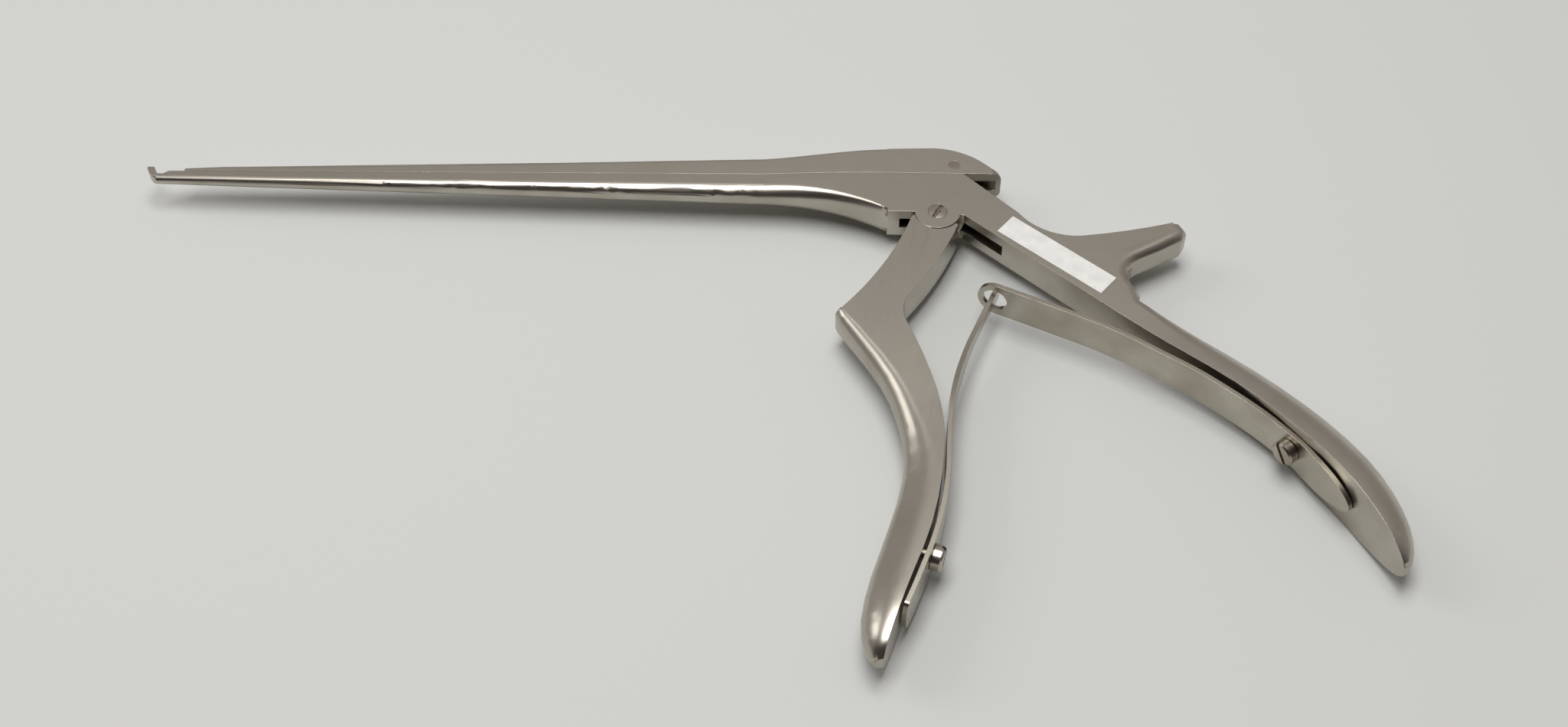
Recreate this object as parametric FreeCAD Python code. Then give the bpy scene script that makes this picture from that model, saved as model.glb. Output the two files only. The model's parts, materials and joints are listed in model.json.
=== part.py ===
import FreeCAD, Part
import math
import os

from FreeCAD import Vector

# Kerrison rongeur, a pistol-handled bone punch, lying on its side.
# Millimetres. The pivot axis is the Z axis, the long shaft runs along -X to the tip,
# both handles hang towards -Y, and Z = 0 is the surface that the tool rests on.
# Every piece is drawn about the pivot on the tool's middle plane and moved to the origin at the end.

# General thickness of the flat-sided body and upper handles
body_thick = 8.5
half = body_thick / 2

# Running clearances
slide_gap = 0.06
tang_gap = 0.10
bore_gap = 0.05
seat_gap = 0.03
lie_gap = 0.15

# Long shaft: the sliding half runs on the flat top of the fixed half
rail_y = 12.5
tip_x = -191.8
neck_half_width = 1.3
mid_x = -42.0
mid_half_width = 3.1
tip_belly_y = 9.75
mid_belly_y = 6.3
shoulder_x = -12.0

# Footplate at the tip
foot_height = 2.1
foot_thick = 1.3
foot_lean = 1.35
foot_setback = 0.15
neck_relief_depth = 0.9
neck_relief_length = 1.6
neck_ramp = 1.4

# Sliding half
jaw_closed_gap = 0.12
slider_nose_bevel = 1.3
slider_nose_rim = 0.6
cup_radius = 0.6
cup_depth = 2.6
peak_x = -1.0
peak_height = 8.8
tail_arc_radius = 19.0
tail_slope = math.radians(42.5)
tail_x = 15.9
tail_corner_round = 2.2
tail_edge_round = 0.8
tail_edge_break = 0.35
tail_slot_wall = 1.3
tail_slot_roof_y = 18.9

# T rail under the sliding half and its slot in the fixed half
rail_neck_width = 0.8
rail_neck_depth = 0.55
rail_head_width = 1.5
rail_head_depth = 0.5
rail_front_back_from_nose = 7.5
rail_rear_x = -22.0
rail_end_gap = 0.6

# Pivot, boss and tang
boss_radius = 5.4
boss_gap = 0.30
tang_thick = 3.0
tang_radius = 6.5
pivot_screw_radius = 1.7
pivot_head_radius = 2.3
pivot_head_height = 1.5
pivot_head_crown = 0.18
squeeze_angle = math.radians(25)
fork_lean = math.radians(16)

# Drive pin in the slider and the fork on the tang
drive_pin_radius = 1.4
drive_pin_y = 15.4
fork_gap = 0.12
arm_half_width = 2.9
arm_end_radius = 17.9

# Front facet and slots in the body
facet_y = -0.2
mouth_x = -9.1
inner_corner = Vector(6.36, -1.17, 0)
inner_slope = math.radians(-40.6)
rear_slot_length = 11.9
rear_slot_depth = 4.4

# Rear handle: a straight inner face that turns into a long arc
inner_straight = 70.4
grip_start = 50.0
grip_root = 6.0
grip_depth = 7.4
inner_arc_radius = 140.0
rear_flare = 16.0

# Spur behind the handle
spur_tip = Vector(59.2, -5.6, 0)
spur_tip_round = 2.8
spur_top_y = -2.3
spur_depth = 6.3
spur_blend = 0.012
edge_round = 2.6

# Front handle
front_flare = 11.8

# Leaf springs
leaf_thick = 1.1
leaf_width = 9.5
tongue_width = 3.6
eye_radius = 3.1
rear_screw_past_bend = 26.6
rear_leaf_past_bend = 46.5
front_leaf_hole_y = -96.6

# Spring screws
spring_screw_radius = 1.5
spring_head_radius = 3.0
spring_head_height = 2.4
spring_head_chamfer = 0.5
spring_screw_reach = 5.5
rear_leaf_lift = 0.15
front_leaf_lift = 0.75
driver_slot_width = 0.9
driver_slot_depth = 0.9

# Marking tape on the side of the rear handle
tape_length = 30.3
tape_width = 6.2
tape_thick = 0.15
tape_start = 9.2
tape_inset = 1.2
tape_skew = math.radians(1.4)


class Outline:
    """A closed flat outline, drawn from point to point with lines and arcs."""

    def __init__(self, x, y):
        self.start = Vector(x, y, 0)
        self.here = self.start
        self.edges = []

    def line(self, x, y):
        end = Vector(x, y, 0)
        self.edges.append(Part.makeLine(self.here, end))
        self.here = end
        return self

    def arc(self, via_x, via_y, x, y):
        end = Vector(x, y, 0)
        self.edges.append(Part.Arc(self.here, Vector(via_x, via_y, 0), end).toShape())
        self.here = end
        return self

    def curve(self, *points):
        spline = Part.BSplineCurve()
        spline.interpolate([self.here] + [Vector(x, y, 0) for x, y in points])
        self.edges.append(spline.toShape())
        self.here = Vector(points[-1][0], points[-1][1], 0)
        return self

    def face(self):
        if (self.here - self.start).Length > 1e-6:
            self.edges.append(Part.makeLine(self.here, self.start))
        return Part.Face(Part.Wire(Part.__sortEdges__(self.edges)))


def plate(outline, half_thick):
    """A flat plate of the outline, centred on the middle plane."""
    face = outline.face()
    face.translate(Vector(0, 0, -half_thick))
    return face.extrude(Vector(0, 0, 2 * half_thick))


def block(x0, x1, y0, y1, half_thick):
    return Part.makeBox(x1 - x0, y1 - y0, 2 * half_thick, Vector(x0, y0, -half_thick))


def polar(radius, degrees):
    angle = math.radians(degrees)
    return Vector(radius * math.cos(angle), radius * math.sin(angle), 0)


def upright_pin(x, y, radius, low, high):
    return Part.makeCylinder(radius, high - low, Vector(x, y, low), Vector(0, 0, 1))


def rounded_section(flat, outer, height, round_depth, round_height):
    """A handle's cross-section: square on the flat side, rounded on the outer side."""
    across = outer - flat
    depth = across.Length
    across = across * (1 / depth)
    up = Vector(0, 0, 1)
    top = height / 2

    def at(distance, z):
        return flat + across * distance + up * z

    def quarter(centre_distance, side):
        low_angle = math.sqrt(0.5)
        centre_z = side * (top - round_height)
        first = at(centre_distance, side * top)
        middle = at(centre_distance + round_depth * low_angle, centre_z + side * round_height * low_angle)
        last = at(depth, centre_z)
        curve = Part.BSplineCurve()
        mid_tangent = (across * round_depth - up * (side * round_height)) * low_angle
        curve.interpolate(Points=[first, middle, last],
                          Tangents=[across * round_depth, mid_tangent, up * (-side * round_height)],
                          TangentFlags=[True, True, True])
        return curve.toShape()

    shelf = depth - round_depth
    upper = quarter(shelf, 1)
    lower = quarter(shelf, -1)
    return Part.Wire([
        Part.makeLine(at(0, -top), at(0, top)),
        Part.makeLine(at(0, top), at(shelf, top)),
        upper,
        Part.makeLine(at(depth, top - round_height), at(depth, round_height - top)),
        Part.Wire([lower]).Edges[0],
        Part.makeLine(at(shelf, -top), at(0, -top)),
    ])


def eased(stations, steps):
    """Rows between the given rows on smooth curves, so that a ruled loft through them looks smooth."""
    count = len(stations)
    marks = [float(index) for index in range(count)]
    curves = []
    for column in zip(*stations):
        curve = Part.BSplineCurve()
        curve.interpolate(Points=[Vector(mark, value, 0) for mark, value in zip(marks, column)],
                          Parameters=marks)
        curves.append(curve)
    rows = []
    for index in range((count - 1) * steps + 1):
        rows.append([curve.value(index / steps).y for curve in curves])
    return rows


def shaft_half_width(x):
    """Half the shaft's width: a straight taper to mid_x, then a flare to the body."""
    if x <= mid_x:
        share = (x - tip_x) / (mid_x - tip_x)
        return neck_half_width + share * (mid_half_width - neck_half_width)
    share = (x - mid_x) / (shoulder_x - mid_x)
    return mid_half_width + (half - mid_half_width) * math.sin(share * math.pi / 2)


def shaft_belly(x):
    """How low the fixed half reaches: a straight taper to mid_x, then an arc down."""
    slope = (mid_belly_y - tip_belly_y) / (mid_x - tip_x)
    if x <= mid_x:
        return mid_belly_y + slope * (x - mid_x)
    run = x - mid_x
    length = shoulder_x - mid_x
    drop = mid_belly_y + slope * length - facet_y
    return mid_belly_y + slope * run - drop * (run / length) ** 2.4


def belly_section(x, depth_share, width_share):
    """The fixed half's cross-section at x: flat rail on top, rounded belly below."""
    width = shaft_half_width(x)
    return rounded_section(Vector(x, rail_y, 0), Vector(x, shaft_belly(x), 0), 2 * width,
                           width * depth_share, width * width_share)


def slider_height(x):
    """The slider's height above the rail: a slim front, a long taper and a swell into the tail."""
    front_x = -166.0
    front_height = 2.4
    middle_height = 5.9
    if x <= front_x:
        share = (x - nose_x()) / (front_x - nose_x())
        return 1.5 + (front_height - 1.5) * math.sqrt(max(share, 0))
    if x <= mid_x:
        share = (x - front_x) / (mid_x - front_x)
        return front_height + (middle_height - front_height) * share ** 1.15
    share = (x - mid_x) / (shoulder_x - mid_x)
    rise = 0.034 * (shoulder_x - mid_x)
    return middle_height + rise * share + (peak_height - 0.45 - middle_height - rise) * share ** 2 * (3 - 2 * share)


def nose_x():
    """The slider's front end at rest: closed against the footplate, less its travel."""
    face_x = tip_x + foot_setback - foot_lean * neck_relief_depth / (foot_height + neck_relief_depth)
    return face_x + jaw_closed_gap + slider_travel()


def slider_travel():
    """How far the fork pushes the drive pin, and the slider with it, in a full squeeze."""
    return drive_pin_y * (math.tan(fork_lean) + math.tan(squeeze_angle - fork_lean))


def slider_section(x, round_size):
    width = shaft_half_width(x)
    base = rail_y + slide_gap
    top = rail_y + slider_height(x)
    size = min(round_size, width - 0.05)
    return rounded_section(Vector(x, base, 0), Vector(x, top, 0), 2 * width, size, size)


def inner_point(distance):
    """A point on the rear handle's inner face, its direction and its outward normal."""
    direction = inner_slope
    ahead = Vector(math.cos(direction), math.sin(direction), 0)
    start = inner_corner + ahead * min(distance, inner_straight)
    if distance > inner_straight:
        turn = (distance - inner_straight) / inner_arc_radius
        side = Vector(-ahead.y, ahead.x, 0)
        start = start + ahead * (inner_arc_radius * math.sin(turn))
        start = start - side * (inner_arc_radius * (1 - math.cos(turn)))
        direction = direction - turn
        ahead = Vector(math.cos(direction), math.sin(direction), 0)
    return start, ahead, Vector(-ahead.y, ahead.x, 0)


def rear_grip():
    """The rear handle's D-shaped grip, lofted through sections along its inner face."""
    stations = [(grip_start, grip_depth, body_thick, edge_round, edge_round),
                (60.0, 7.6, body_thick + 0.7, 4.2, 3.8),
                (72.0, 8.3, 11.0, 6.8, 5.3),
                (85.0, 9.0, 12.9, 8.6, 6.3),
                (98.0, 9.7, 14.6, 9.3, 7.2),
                (110.0, 9.8, rear_flare, 9.5, 7.9),
                (119.5, 8.9, 15.0, 8.6, 7.4),
                (127.5, 7.0, 12.4, 6.8, 6.1),
                (133.0, 4.4, 8.2, 4.2, 4.0),
                (135.8, 1.6, 3.2, 1.5, 1.5)]
    root = (grip_start - grip_root, grip_depth, body_thick, edge_round, edge_round)
    wires = []
    for distance, depth, height, round_depth, round_height in [root] + eased(stations, 2):
        flat, ahead, out = inner_point(distance)
        wires.append(rounded_section(flat, flat + out * depth, height, round_depth, round_height))
    return Part.makeLoft(wires, True, True)


def body_plate():
    """The flat body: the boss, and the web that joins the rear handle and the spur."""
    corner = inner_corner
    boss_end = polar(boss_radius, math.degrees(math.atan2(corner.y, corner.x)))
    grip, ahead, out = inner_point(grip_start - grip_root / 2)
    within = grip + out * (grip_depth - edge_round - 0.5)
    outline = Outline(shoulder_x, rail_y)
    outline.line(6.5, rail_y)
    outline.line(19.4, -0.1)
    outline.arc(26.0, -5.8, 34.2, -7.3)
    outline.arc(44.5, -5.6, spur_tip.x - spur_tip_round, spur_top_y - 0.35)
    outline.line(spur_tip.x - spur_tip_round, spur_top_y - spur_depth + edge_round + 0.8)
    outline.line(47.0, -9.8)
    outline.arc(41.6, -14.0, 41.0, -20.0)
    outline.line(within.x, within.y)
    outline.line(grip.x, grip.y)
    outline.line(corner.x, corner.y)
    outline.line(boss_end.x, boss_end.y)
    outline.arc(0, -boss_radius, -math.sqrt(boss_radius ** 2 - facet_y ** 2), facet_y)
    outline.line(shoulder_x, facet_y)
    return plate(outline, half)


def spur():
    """The rounded lower edge from the grip, round the hollow for the thumb's web, to the spur's tip."""
    grip, ahead, out = inner_point(grip_start - grip_root / 2)
    back = grip + out * grip_depth
    tip = spur_tip
    # Each row is a point inside the web, a point on the rounded edge, and the height there.
    rows = [(grip.x + 2.0, grip.y + 2.0, back.x, back.y, body_thick),
            (40.5, -22.6, 46.3, -22.6, body_thick),
            (38.6, -18.5, 44.7, -18.6, body_thick),
            (40.6, -13.2, 46.0, -14.9, body_thick),
            (44.6, -8.4, 50.0, -12.3, body_thick),
            (tip.x - 5.4, spur_top_y - 1.6, tip.x - 2.9, spur_top_y - spur_depth, body_thick),
            (tip.x - 3.0, spur_top_y - 0.7, tip.x - 1.0, spur_top_y - spur_depth + 1.1, body_thick),
            (tip.x - 1.6, spur_top_y - 0.6, tip.x, spur_top_y - spur_depth + 2.6, body_thick - 0.6),
            (tip.x - 0.6, spur_top_y - 1.2, tip.x + 0.35, spur_top_y - spur_depth + 3.6, body_thick - 2.2)]
    wires = []
    for flat_x, flat_y, outer_x, outer_y, height in eased(rows[:6], 2) + rows[6:]:
        flat = Vector(flat_x, flat_y, 0)
        outer = Vector(outer_x, outer_y, 0)
        size = min(edge_round, (outer - flat).Length - 0.4, height / 2 - 0.3)
        wires.append(rounded_section(flat, outer, height - 2 * spur_blend, size, size))
    return Part.makeLoft(wires, True, True)


def shaft():
    """The fixed half of the shaft, from the neck behind the footplate to the body."""
    full = 0.97
    taper = Part.makeLoft([belly_section(tip_x, full, full), belly_section(mid_x, full, full)], True, True)
    stations = [(mid_x, full, full), (-34.0, 0.86, 0.96), (-26.0, 0.66, 0.9), (-18.0, 0.45, 0.76),
                (shoulder_x, 0.28, 0.56)]
    flare = Part.makeLoft([belly_section(*station) for station in eased(stations, 3)], True, True)
    return taper.fuse(flare)


def footplate():
    """The leaning footplate with the relieved neck behind it."""
    top = rail_y + foot_height
    outline = Outline(tip_x + neck_relief_length + neck_ramp, rail_y)
    outline.line(tip_x + neck_relief_length, rail_y - neck_relief_depth)
    outline.line(tip_x + foot_setback, rail_y - neck_relief_depth)
    outline.line(tip_x - foot_lean, top)
    outline.line(tip_x - foot_lean - foot_thick, top - 0.1)
    outline.arc(tip_x - 1.2, tip_belly_y + 1.2, tip_x + 0.6, tip_belly_y + 0.1)
    outline.line(tip_x + neck_relief_length + neck_ramp, shaft_belly(tip_x + neck_relief_length + neck_ramp))
    solid = plate(outline, neck_half_width)
    rounding = upright_tool(tip_x - foot_lean - foot_thick - 1, tip_x + neck_relief_length + neck_ramp)
    return solid.common(rounding)


def upright_tool(x0, x1):
    """A bar along X with a rounded top and belly, which rounds the tip in end view."""
    radius = neck_half_width
    low = Part.makeCylinder(radius, x1 - x0, Vector(x0, tip_belly_y + radius, 0), Vector(1, 0, 0))
    high = Part.makeCylinder(radius, x1 - x0, Vector(x0, rail_y + foot_height - radius, 0), Vector(1, 0, 0))
    middle = block(x0, x1, tip_belly_y + radius, rail_y + foot_height - radius, radius)
    return low.fuse(middle).fuse(high)


def body_slots():
    """What is milled through the middle of the body for the tang, its arm and its heel."""
    slot_half = tang_thick / 2 + tang_gap
    along = Vector(math.cos(inner_slope), math.sin(inner_slope), 0)
    out = Vector(-along.y, along.x, 0)
    end = inner_corner + along * rear_slot_length
    deep = end + out * rear_slot_depth
    near = inner_corner + along * 2.0 + out * rear_slot_depth
    reach = tang_radius + tang_gap * 3
    front = arm_reach(squeeze_angle - fork_lean)
    rear = arm_reach(fork_lean)
    outline = Outline(mouth_x, facet_y - 8)
    outline.line(mouth_x, 3.4)
    outline.line(-front, 6.0)
    outline.line(-front, rail_y + 1)
    outline.line(rear, rail_y + 1)
    outline.line(rear, 6.0)
    outline.line(near.x, near.y)
    outline.line(deep.x, deep.y)
    outline.line(end.x, end.y)
    outline.line(end.x - out.x * 3, end.y - out.y * 3)
    outline.line(reach, facet_y - 8)
    return plate(outline, slot_half)


def arm_reach(lean):
    """How far the leaning arm of the tang reaches along the rail, with room to spare."""
    return rail_y * math.tan(lean) + arm_half_width / math.cos(lean) + 4 * tang_gap


def t_section(x0, x1, gap):
    """The T rail, or with a gap its slot, along the underside of the slider."""
    top = rail_y + slide_gap + 0.02
    neck_low = rail_y - rail_neck_depth
    head_low = neck_low - rail_head_depth
    neck = block(x0, x1, neck_low - 0.1, top, rail_neck_width / 2 + gap)
    head = block(x0, x1, head_low - gap, neck_low + gap, rail_head_width / 2 + gap)
    return neck.fuse(head)


def frame_piece():
    """Fixed half of the shaft, body, rear handle and spur, forged and milled as one."""
    solid = body_plate().fuse(shaft()).fuse(rear_grip()).fuse(spur()).fuse(footplate())
    relief = Outline(tip_x + foot_setback, rail_y - neck_relief_depth)
    relief.line(tip_x - foot_lean, rail_y + foot_height)
    relief.line(tip_x - foot_lean, rail_y + foot_height + 1)
    relief.line(tip_x + neck_relief_length + neck_ramp + 1, rail_y + foot_height + 1)
    relief.line(tip_x + neck_relief_length + neck_ramp, rail_y)
    relief.line(tip_x + neck_relief_length, rail_y - neck_relief_depth)
    solid = solid.cut(plate(relief, half))
    solid = solid.cut(body_slots())
    slot_front = nose_x() - slider_travel() + rail_front_back_from_nose - rail_end_gap
    solid = solid.cut(t_section(slot_front, rail_rear_x + rail_end_gap, slide_gap))
    solid = solid.cut(upright_pin(0, 0, pivot_screw_radius + seat_gap, -half - 1, half + 1))
    solid = solid.cut(upright_pin(0, 0, pivot_head_radius + bore_gap, half - pivot_head_height, half + 1))
    solid = solid.cut(screw_hole(rear_screw_place()))
    return solid.removeSplitter()


def slider_piece():
    """The sliding half with its T rail, tail slot and cutting cup."""
    rounds = [(nose_x(), 1.2), (-176.0, 1.3), (-166.0, 1.4), (-127.0, 1.6), (-87.0, 1.6), (mid_x, 1.5)]
    swell = [(mid_x, 1.5), (-32.0, 1.3), (-22.0, 1.0), (shoulder_x, tail_edge_round)]
    sections = [slider_section(x, size) for x, size in rounds + eased(swell, 3)[1:]]
    bar = Part.makeLoft(sections, True, True)
    base = rail_y + slide_gap
    peak_y = rail_y + peak_height
    bend_x = peak_x + tail_arc_radius * math.sin(tail_slope)
    bend_y = peak_y - tail_arc_radius * (1 - math.cos(tail_slope))
    middle = tail_slope / 2
    below = base - 3
    outline = Outline(shoulder_x, below)
    outline.line(shoulder_x, rail_y + slider_height(shoulder_x))
    outline.arc(-6.5, peak_y - 0.2, peak_x, peak_y)
    outline.arc(peak_x + tail_arc_radius * math.sin(middle),
                peak_y - tail_arc_radius * (1 - math.cos(middle)), bend_x, bend_y)
    outline.line(bend_x + (bend_y - below) / math.tan(tail_slope), below)
    tail = plate(outline, half)
    top_edges = [edge for edge in tail.Edges
                 if abs(abs(edge.CenterOfMass.z) - half) < 0.01
                 and edge.CenterOfMass.y > below + 0.1
                 and edge.CenterOfMass.x > shoulder_x + 0.1]
    tail = tail.makeChamfer(tail_edge_break, top_edges)
    blank = Part.makeBox(tail_x - shoulder_x, peak_y + 1 - base, 2 * half, Vector(shoulder_x, base, -half))
    corners = [edge for edge in blank.Edges
               if abs(edge.CenterOfMass.x - tail_x) < 0.01 and abs(abs(edge.CenterOfMass.z) - half) < 0.01]
    tail = tail.common(blank.makeFillet(tail_corner_round, corners))
    solid = bar.fuse(tail)
    nose = nose_x()
    bevel = Outline(nose - 1, base + slider_nose_rim)
    bevel.line(nose, base + slider_nose_rim)
    bevel.line(nose + slider_nose_bevel, base + 1.65)
    bevel.line(nose + slider_nose_bevel, base + 3)
    bevel.line(nose - 1, base + 3)
    solid = solid.cut(plate(bevel, half))
    cup = Part.makeCylinder(cup_radius, cup_depth + 1, Vector(nose - 1, base + cup_radius - 0.1, 0), Vector(1, 0, 0))
    solid = solid.cut(cup)
    solid = solid.fuse(t_section(nose + rail_front_back_from_nose, rail_rear_x, 0))
    slot_half = tang_thick / 2 + 2 * tang_gap
    slot_front = drive_pin_x() - arm_half_width / math.cos(fork_lean) - 2.0
    solid = solid.cut(block(slot_front, tail_x - tail_slot_wall, rail_y - 1, tail_slot_roof_y, slot_half))
    solid = solid.cut(upright_pin(drive_pin_x(), drive_pin_y, drive_pin_radius + seat_gap, -half - 1, half + 1))
    return solid.removeSplitter()


def drive_pin_x():
    return drive_pin_y * math.tan(fork_lean)


def drive_pin():
    return upright_pin(drive_pin_x(), drive_pin_y, drive_pin_radius, -half, half)


def pivot_screw():
    """Slotted pivot screw, its low crowned head sunk in the upper cheek."""
    shank = upright_pin(0, 0, pivot_screw_radius, -half, half - pivot_head_height)
    head = upright_pin(0, 0, pivot_head_radius, half - pivot_head_height, half)
    sphere_radius = (pivot_head_radius ** 2 + pivot_head_crown ** 2) / (2 * pivot_head_crown)
    ball = Part.makeSphere(sphere_radius, Vector(0, 0, half + pivot_head_crown - sphere_radius))
    crown = ball.common(upright_pin(0, 0, pivot_head_radius, half, half + 1))
    slot = Part.makeBox(2 * pivot_head_radius + 1, 0.7, 1.0, Vector(-pivot_head_radius - 0.5, -0.35, half - 0.5))
    slot.rotate(Vector(0, 0, 0), Vector(0, 0, 1), 60)
    return shank.fuse(head).fuse(crown).cut(slot).removeSplitter()


def tang():
    """The thin tang between the cheeks: a disc on the pivot and an arm ending in a fork."""
    arm = Outline(-arm_half_width, -2)
    arm.line(-arm_half_width, arm_end_radius - 1.2)
    arm.arc(-arm_half_width + 0.4, arm_end_radius - 0.35, -arm_half_width + 1.3, arm_end_radius)
    arm.line(arm_half_width - 1.3, arm_end_radius)
    arm.arc(arm_half_width - 0.4, arm_end_radius - 0.35, arm_half_width, arm_end_radius - 1.2)
    arm.line(arm_half_width, -2)
    solid = plate(arm, tang_thick / 2)
    mouth = drive_pin_radius + fork_gap
    floor = drive_pin_y - mouth - fork_gap
    fork = Outline(-mouth, arm_end_radius + 1)
    fork.line(-mouth, floor + mouth)
    fork.arc(0, floor, mouth, floor + mouth)
    fork.line(mouth, arm_end_radius + 1)
    solid = solid.cut(plate(fork, tang_thick))
    solid.rotate(Vector(0, 0, 0), Vector(0, 0, 1), -math.degrees(fork_lean))
    disc = upright_pin(0, 0, tang_radius, -tang_thick / 2, tang_thick / 2)
    return solid.fuse(disc)


def front_upper():
    """The flat upper lever of the front handle, hollowed around the boss."""
    seat = boss_radius + boss_gap
    left = polar(seat, -166)
    right = polar(seat, -42)
    outline = Outline(left.x, left.y)
    outline.line(-6.2, -1.6)
    outline.arc(-13.3, -17.2, -22.9, -30.6)
    outline.line(-18.5, -33.0)
    outline.line(-8.5, -32.6)
    outline.arc(-8.6, -29.6, -6.9, -25.9)
    outline.arc(-0.38, -15.6, 4.82, -4.31)
    outline.line(right.x, right.y)
    outline.arc(polar(seat, -104).x, polar(seat, -104).y, left.x, left.y)
    return plate(outline, half)


def front_grip():
    """The front handle's grip: a flat-topped bar that turns into a D below the fingers."""
    # Each row is a point on the flat inner side, one on the rounded side, the height and the rounding.
    rows = [(-8.5, -31.2, -23.6, -30.6, body_thick, 0.9, 0.9),
            (-8.3, -33.6, -24.1, -33.0, body_thick, 3.0, 3.0),
            (-6.0, -39.4, -20.4, -39.5, body_thick, 4.1, 4.1),
            (-2.7, -49.4, -14.1, -50.2, body_thick, 4.3, 4.2),
            (-0.6, -58.5, -10.8, -59.3, body_thick + 0.1, 4.8, 4.2),
            (0.05, -67.0, -9.1, -67.4, body_thick + 0.5, 6.0, 4.4),
            (-0.7, -78.0, -9.4, -77.6, 9.8, 8.0, 4.85),
            (-3.3, -92.0, -12.6, -90.6, 10.8, 9.1, 5.35),
            (-7.5, -104.6, -16.5, -103.3, 11.6, 8.9, 5.75),
            (-10.8, -114.4, -18.6, -113.8, front_flare, 7.6, 5.85),
            (-12.8, -120.6, -18.0, -120.6, 9.4, 5.1, 4.6),
            (-13.9, -124.2, -15.9, -124.6, 3.6, 1.9, 1.7)]
    wires = []
    for flat_x, flat_y, outer_x, outer_y, height, round_depth, round_height in eased(rows, 2):
        wires.append(rounded_section(Vector(flat_x, flat_y, 0), Vector(outer_x, outer_y, 0),
                                     height, round_depth, round_height))
    return Part.makeLoft(wires, True, True)


def front_handle():
    solid = front_upper().fuse(front_grip()).fuse(tang())
    solid = solid.cut(upright_pin(0, 0, pivot_screw_radius + bore_gap, -half - 1, half + 1))
    solid = solid.cut(screw_hole(front_screw_place()))
    return solid.removeSplitter()


def strip(points, thick):
    """A thin plan strip on one side of a curve through the points."""
    near = [Vector(x, y, 0) for x, y in points]
    curve = Part.BSplineCurve()
    curve.interpolate(near)
    far = []
    for point in near:
        tangent = curve.tangent(curve.parameter(point))[0]
        far.append(point + Vector(tangent.y, -tangent.x, 0) * thick)
    other = Part.BSplineCurve()
    other.interpolate(far)
    wire = Part.Wire([curve.toShape(), Part.makeLine(near[-1], far[-1]), other.toShape(),
                      Part.makeLine(far[0], near[0])])
    face = Part.Face(wire)
    face.translate(Vector(0, 0, -leaf_width))
    return face.extrude(Vector(0, 0, 2 * leaf_width))


def rear_leaf_line():
    """The rear leaf's outer side in plan: places along the handle's face and gaps to it."""
    stations = [(0.24 * inner_straight, 12.9), (0.48 * inner_straight, 8.1), (0.68 * inner_straight, 4.5),
                (0.86 * inner_straight, 2.7), (inner_straight + 3.4, 1.4),
                (inner_straight + rear_screw_past_bend, rear_leaf_lift),
                (inner_straight + rear_screw_past_bend + 11.0, 0.5),
                (inner_straight + rear_leaf_past_bend, 0.25)]
    line = []
    for distance, gap in stations:
        face, ahead, out = inner_point(distance)
        line.append((face.x - out.x * gap, face.y - out.y * gap))
    return line


def rear_leaf():
    """The wide leaf on the rear handle, with the eye near its free end."""
    line = rear_leaf_line()
    band = strip(line, leaf_thick)
    wide = leaf_width / 2
    first = line[0][0] - 0.9
    last = line[-1][0] + 0.2
    profile = Outline(first + wide, wide)
    profile.line(last - 7.5, wide)
    profile.arc(last - 2.4, wide / 2, last, 0)
    profile.arc(last - 2.4, -wide / 2, last - 7.5, -wide)
    profile.line(first + wide, -wide)
    profile.arc(first, 0, first + wide, wide)
    cutter = profile.face().extrude(Vector(0, 0, 100))
    cutter.rotate(Vector(0, 0, 0), Vector(1, 0, 0), 90)
    leaf = band.common(cutter.translated(Vector(0, line[0][1] + 8, 0)))
    face, ahead, out = inner_point(0.24 * inner_straight)
    normal = Vector(-0.405, -0.914, 0)
    centre = Vector(line[0][0] + 2.6, line[0][1] - 1.2, 0)
    leaf = leaf.cut(Part.makeCylinder(eye_radius, 10, centre - normal * 5, normal))
    return leaf.cut(screw_hole(rear_screw_place()))


def front_leaf_line():
    """The front leaf's handle side in plan, from its lower end up to its tongue."""
    return [(-10.0, -113.2), (-6.5, -104.0), (-2.55, -92.0), (-0.2, -80.0), (0.6, -68.0),
            (1.5, -57.0), (4.7, -43.0), (8.9, -31.5), (13.3, -21.4)]


def front_leaf():
    """The leaf on the front handle, narrowed to a tongue that hooks into the eye."""
    band = strip(front_leaf_line(), leaf_thick)
    wide = leaf_width / 2
    thin = tongue_width / 2
    profile = Outline(-112.9, wide - 1.5)
    profile.arc(-112.5, wide - 0.4, -111.4, wide)
    profile.line(-60.0, wide)
    profile.arc(-48.0, 3.9, -30.0, thin)
    profile.line(-20.0, thin)
    profile.line(-20.0, -thin)
    profile.line(-30.0, -thin)
    profile.arc(-48.0, -3.9, -60.0, -wide)
    profile.line(-111.4, -wide)
    profile.arc(-112.5, 0.4 - wide, -112.9, 1.5 - wide)
    cutter = profile.face().extrude(Vector(0, 0, 80))
    turn = FreeCAD.Placement(Vector(-40, 0, 0), FreeCAD.Rotation(Vector(0, 1, 0), Vector(0, 0, 1), Vector(1, 0, 0)))
    cutter.Placement = turn
    leaf = band.common(cutter)
    return leaf.cut(screw_hole(front_screw_place()))


def rear_screw_place():
    """Where the rear spring screw enters, and the direction that its head points."""
    seat, ahead, out = inner_point(inner_straight + rear_screw_past_bend)
    return seat, out * -1


def front_screw_place():
    """Where the front spring screw enters, and the direction that its head points."""
    return Vector(-4.75, front_leaf_hole_y, 0), Vector(0.95, -0.312, 0)


def screw_hole(place):
    seat, head_way = place
    head_way = head_way * (1 / head_way.Length)
    start = seat - head_way * (spring_screw_reach + 0.4)
    return Part.makeCylinder(spring_screw_radius + seat_gap, spring_screw_reach + 6, start, head_way)


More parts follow.
